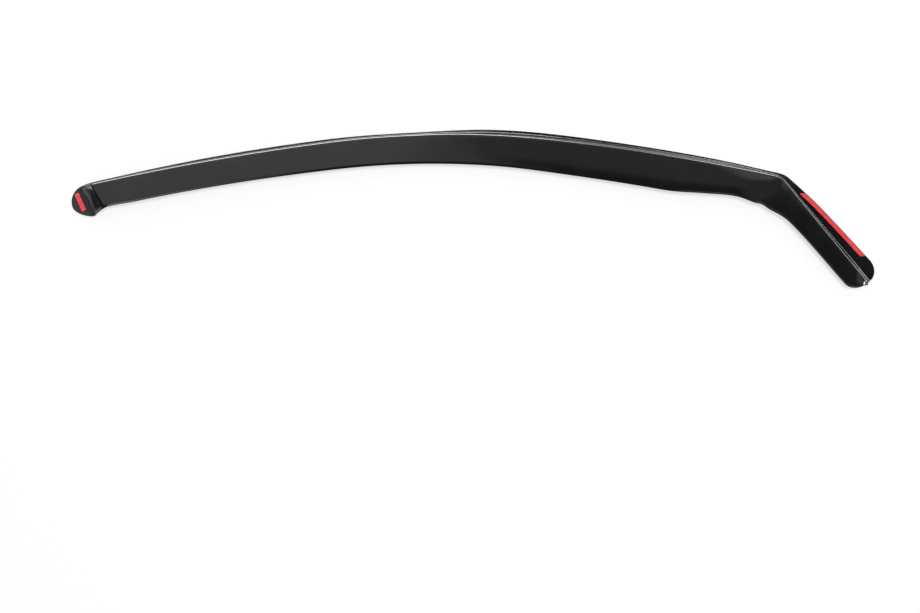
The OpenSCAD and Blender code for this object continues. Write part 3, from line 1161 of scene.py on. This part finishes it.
@dataclass(frozen=True)
class SmokedAcrylic(Finish):
    """Glossy smoked acrylic, almost black, with a frosted cut edge.

    Args:
        tint: Colour of the body of the sheet.
        haze: Colour where the sheet is a touch milky.
        cut: Colour of the cut edge.
        gloss: Roughness of the clean outer face.
        clouded: Roughness that slow clouds add.
        wiped: Roughness that wiping streaks add.
        inner: Roughness that the inner face adds.
        frosted: Roughness that the cut edge adds.
        sawn: Roughness that the grain adds to the cut edge.
        ior: Refractive index of acrylic.
        wave_depth: Depth of the slow waviness of the moulded face, in metres.
        fine_depth: Depth of the streaks and the grain, in metres.
    """

    slot: Slot = Slot.ACRYLIC
    tint: Color = (0.0035, 0.0035, 0.0038)
    haze: Color = (0.0065, 0.0065, 0.007)
    cut: Color = (0.03, 0.031, 0.033)
    gloss: float = 0.07
    clouded: float = 0.02
    wiped: float = 0.035
    inner: float = 0.09
    frosted: float = 0.22
    sawn: float = 0.1
    ior: float = 1.49
    wave_depth: float = 0.0006
    fine_depth: float = 0.000004

    def inputs(self, g: Graph) -> dict[str, Any]:
        """Clouds, wiping streaks, grain and slow waves over the sheet.

        Args:
            g: Graph of the material.

        Returns:
            Values and links of the shader's sockets.
        """
        place = g.place()
        edge, inside = g.stored("edge"), g.stored("inside")
        cloud = g.noise(place, scale=26.0, detail=3.0)
        wipe = g.noise(g.stretched(place, (9.0, 240.0, 60.0)), scale=1.0, detail=4.0, roughness=0.6)
        wipe = wipe.above(0.52, width=0.3)
        grain = g.noise(place, scale=2600.0)
        face = g.colors(cloud.above(0.35, width=0.4), self.tint, self.haze)
        rough = self.gloss + self.clouded * cloud + self.wiped * wipe + self.inner * inside
        rough = rough + edge * (self.frosted + self.sawn * grain)
        waves = g.bump(g.noise(place, scale=11.0, detail=1.0, roughness=0.3), self.wave_depth)
        return {
            "Base Color": g.colors(edge, face, self.cut),
            "Roughness": rough.clamped(),
            "IOR": self.ior,
            "Normal": g.bump(0.7 * wipe + 0.3 * grain, self.fine_depth, under=waves),
        }


@dataclass(frozen=True)
class FoamTape(Finish):
    """Dark closed-cell foam tape, with painted shade darkening the pits of its cells.

    Args:
        tint: Colour of the foam.
        pit_shade: Painted shade: the colour painted into the pits of the open cells.
        cell: Cells to a metre.
        cell_depth: Depth of a cell, in metres.
        dull: Roughness where it is smoothest.
    """

    slot: Slot = Slot.FOAM
    tint: Color = (0.035, 0.035, 0.037)
    pit_shade: Color = (0.012, 0.012, 0.013)
    cell: float = 3200.0
    cell_depth: float = 0.00008
    dull: float = 0.72

    def inputs(self, g: Graph) -> dict[str, Any]:
        """Open cells with painted shade in their pits, and slow changes of tone over the foam.

        Args:
            g: Graph of the material.

        Returns:
            Values and links of the shader's sockets.
        """
        place = g.place()
        where = {"Vector": place, "Scale": self.cell}
        cells = g.add("ShaderNodeTexVoronoi", {"feature": "F1"}, where)
        shade = g.noise(place, scale=700.0, detail=3.0)
        return {
            # Base colour is painted shade: darker toward the middle of each cell pit, mixed with
            # slow random tone.
            "Base Color": g.colors((cells + 0.4 * shade).clamped(), self.pit_shade, self.tint),
            "Roughness": self.dull + 0.2 * shade,
            "Normal": g.bump(cells, self.cell_depth, strength=0.8),
        }


@dataclass(frozen=True)
class ReleaseFilm(Finish):
    """Red release film with a soft sheen, slightly wrinkled.

    Args:
        tint: Colour of the film.
        worn: Colour where it is thinner.
        sheen: Roughness where it is smoothest.
        clouded: Roughness that slow clouds add.
        streaked: Roughness that streaks along the film add.
        ior: Refractive index of the film.
        wrinkle_depth: Depth of the wrinkles, in metres.
        streak_depth: Depth of the streaks, in metres.
    """

    slot: Slot = Slot.FILM
    tint: Color = (0.78, 0.055, 0.07)
    worn: Color = (0.86, 0.085, 0.095)
    sheen: float = 0.18
    clouded: float = 0.1
    streaked: float = 0.05
    ior: float = 1.45
    wrinkle_depth: float = 0.0003
    streak_depth: float = 0.00002

    def inputs(self, g: Graph) -> dict[str, Any]:
        """Clouds, streaks and wrinkles over the film.

        Args:
            g: Graph of the material.

        Returns:
            Values and links of the shader's sockets.
        """
        place = g.place()
        cloud = g.noise(place, scale=160.0, detail=3.0)
        streak = g.noise(g.stretched(place, (900.0, 900.0, 200.0)), scale=1.0)
        bumps = g.noise(place, scale=210.0, roughness=0.4)
        wrinkle = g.bump(bumps, self.wrinkle_depth, strength=0.6)
        return {
            "Base Color": g.colors(cloud.above(0.35, width=0.35), self.tint, self.worn),
            "Roughness": self.sheen + self.clouded * cloud + self.streaked * streak,
            "IOR": self.ior,
            "Normal": g.bump(streak, self.streak_depth, strength=0.5, under=wrinkle),
        }


@dataclass(frozen=True)
class PaperFloor:
    """Matt white floor that keeps a faint shadow.

    Args:
        tint: Colour of the paper.
        mottle: Colour of its faint mottling.
        glow: Light that it adds for the camera and for reflections, so that it reads as white.
    """

    tint: Color = (0.4, 0.4, 0.4)
    mottle: Color = (0.38, 0.38, 0.38)
    glow: float = 0.62

    def build(self) -> bpy.types.Material:
        """Make the material.

        Returns:
            The material.
        """
        material, g = new_material("paper_floor")
        shade = g.noise(g.place(), scale=3.0)
        paper_color = g.colors(shade * 0.04, self.tint, self.mottle)
        paper = g.add("ShaderNodeBsdfDiffuse", None, {"Color": paper_color})
        ray = g.add("ShaderNodeLightPath", output="Is Camera Ray")
        seen = (ray + ray.beside("Is Glossy Ray") + ray.beside("Is Transmission Ray")).clamped()
        light = {"Color": WHITE, "Strength": seen * self.glow}
        glow = g.add("ShaderNodeEmission", None, light)
        both = g.add("ShaderNodeAddShader", None, {0: paper, 1: glow})
        g.add("ShaderNodeOutputMaterial", None, {"Surface": both})
        return material


# The studio


@dataclass(frozen=True)
class Card:
    """A white card of the studio that the glossy sheet mirrors, by its angles from straight up.

    Args:
        side: Where it begins and ends toward +X, degrees.
        back: Where it begins and ends toward +Y, degrees.
        level: Its brightness.
        soft: Width of its soft rim, degrees.
        tilt: Degrees that it climbs toward +Y for each degree toward +X.
    """

    side: tuple[float, float]
    back: tuple[float, float]
    level: float
    soft: float = 4.0
    tilt: float = 0.0

    def between(self, angle: Link, first: float, last: float) -> Link:
        """Share from 0 to 1 to which an angle is between two others, with soft limits."""
        after, past = (angle.above(limit - self.soft / 2, self.soft) for limit in (first, last))
        return after * (1 - past)

    def seen(self, a: Link, b: Link) -> Link:
        """Its brightness in a direction, by its angles toward +X and +Y."""
        share = self.between(a, *self.side) * self.between(b - self.tilt * a, *self.back)
        return share * self.level


@dataclass(frozen=True)
class Softbox:
    """A rectangular lamp that points at the part, and that nothing mirrors.

    Args:
        name: Its name.
        spot: Where it stands, in metres.
        size: Width and height, in metres.
        power: Power in watts.
    """

    name: str
    spot: tuple[float, float, float]
    size: tuple[float, float]
    power: float

    def build(self) -> None:
        """Add the lamp to the scene."""
        lamp = bpy.data.lights.new(self.name, "AREA")
        lamp.shape = "RECTANGLE"
        lamp.size, lamp.size_y = self.size
        lamp.energy = self.power
        holder = bpy.data.objects.new(self.name, lamp)
        holder.location = self.spot
        holder.rotation_euler = holder.location.to_track_quat("Z", "Y").to_euler()
        holder.visible_camera = False
        holder.visible_glossy = False
        bpy.context.scene.collection.objects.link(holder)


@dataclass
class Studio:
    """White floor, soft surrounding light, a softbox overhead, white cards and the camera.

    Args:
        camera_spot: Where the camera is, in metres; it looks straight down.
        camera_roll: How far it is turned clockwise about its own axis, radians.
        focal_pixels: Its focal length in pixels of the photograph.
        floor_size: Side of the floor, in metres.
        ambient: Level of the light from all round.
        dim: Level that the glossy sheet mirrors where there is no card.
        softbox: The lamp.
        cards: The white cards.
    """

    camera_spot: tuple[float, float, float] = (-0.01589, -0.11729, 1.8)
    camera_roll: float = 0.0033
    focal_pixels: float = 1484.9
    floor_size: float = 12.0
    ambient: float = 0.4
    dim: float = 0.12
    softbox: Softbox = Softbox("overhead", (0.3, 0.2, 4.0), (0.8, 0.8), 96.0)
    cards: tuple[Card, ...] = (
        Card((-34.0, 1.5), (10.0, 60.0), 1.0, 14.0),
        Card((-52.0, -34.0), (0.0, 60.0), 1.3, 5.0),
        Card((-6.0, 24.0), (28.0, 60.0), 0.4, 6.0),
        Card((18.0, 70.0), (-1.0, 60.0), 0.33, 7.0, 0.73),
        Card((-60.0, 36.0), (45.0, 60.0), 1.1),
        Card((-56.0, -5.0), (54.0, 72.0), 38.0, 6.0),
        Card((-14.0, 36.0), (70.0, 81.0), 54.0, 5.0),
        Card((30.0, 58.0), (54.0, 72.0), 29.0, 6.0),
        Card((68.0, 82.0), (-17.0, -2.0), 16.0, 4.0, 1.0),
        Card((22.0, 36.0), (37.0, 50.0), 1.1, 5.0),
        Card((38.0, 53.0), (7.5, 20.0), 0.8, 2.0, 0.56),
        Card((63.0, 73.0), (47.0, 57.0), 3.0, 4.0),
        Card((-95.0, -78.0), (0.0, 60.0), 3.6, 5.0),
        Card((-95.0, -83.0), (-60.0, 0.0), 1.5, 5.0),
        Card((-80.0, -62.0), (-60.0, -28.0), 2.0, 5.0),
        Card((-22.0, -7.0), (-60.0, 0.0), 3.0, 10.0),
        Card((10.0, 50.0), (-60.0, -2.0), 1.3, 8.0),
    )

    def build(self) -> None:
        """Set up floor, world, lamps and camera."""
        scene = bpy.context.scene
        scene.view_settings.view_transform = "Standard"
        self.add_floor()
        self.add_world()
        self.softbox.build()
        self.add_camera()
        log.info("studio: floor, softbox, %d cards, camera", len(self.cards))

    def add_floor(self) -> None:
        """The pale floor that the part lies on."""
        half = self.floor_size / 2
        corners = np.array([[-half, -half, 0], [half, -half, 0], [half, half, 0], [-half, half, 0]])
        floor = make_piece("floor", corners, [[0, 1, 2, 3]])
        floor.data.materials.append(PaperFloor().build())

    def add_world(self) -> None:
        """White for the camera, even light for matt surfaces, cards for glossy ones."""
        world = bpy.data.worlds.new("studio")
        bpy.context.scene.world = world
        world.use_nodes = True
        world.node_tree.nodes.clear()
        g = Graph(world.node_tree)
        toward = g.add("ShaderNodeTexCoord", output="Generated")
        x = g.add("ShaderNodeSeparateXYZ", None, {0: toward})
        height = x.beside("Z")
        a, b = x.angle(height), x.beside("Y").angle(height)
        mirrored: Link | float = self.dim
        for card in self.cards:
            mirrored = card.seen(a, b).larger(mirrored)
        ray = g.add("ShaderNodeLightPath", output="Is Camera Ray")
        glossy = ray.beside("Is Glossy Ray")
        level = ray + glossy * mirrored + (1 - ray) * (1 - glossy) * self.ambient
        shader = g.add("ShaderNodeBackground", None, {"Color": WHITE, "Strength": level})
        g.add("ShaderNodeOutputWorld", None, {"Surface": shader})

    def add_camera(self) -> None:
        """The camera straight above the part, at the photograph's viewing angle."""
        lens = bpy.data.cameras.new("camera")
        lens.sensor_width = SENSOR_WIDTH
        lens.lens = self.focal_pixels * SENSOR_WIDTH / IMAGE_WIDTH
        camera = bpy.data.objects.new("camera", lens)
        camera.location = self.camera_spot
        camera.rotation_euler.z = -self.camera_roll
        bpy.context.scene.collection.objects.link(camera)
        bpy.context.scene.camera = camera


def main() -> None:
    """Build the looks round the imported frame."""
    logging.basicConfig(level=logging.INFO, format="%(name)s: %(message)s")
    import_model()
    Studio().build()

    moulding = Moulding()
    attitude = Attitude(moulding)
    deliver(moulding.build(attitude), SmokedAcrylic(), "deflector")
    RearPad(moulding).build(attitude)
    PillarStrip(moulding).build(attitude)


if __name__ == "__main__":
    main()
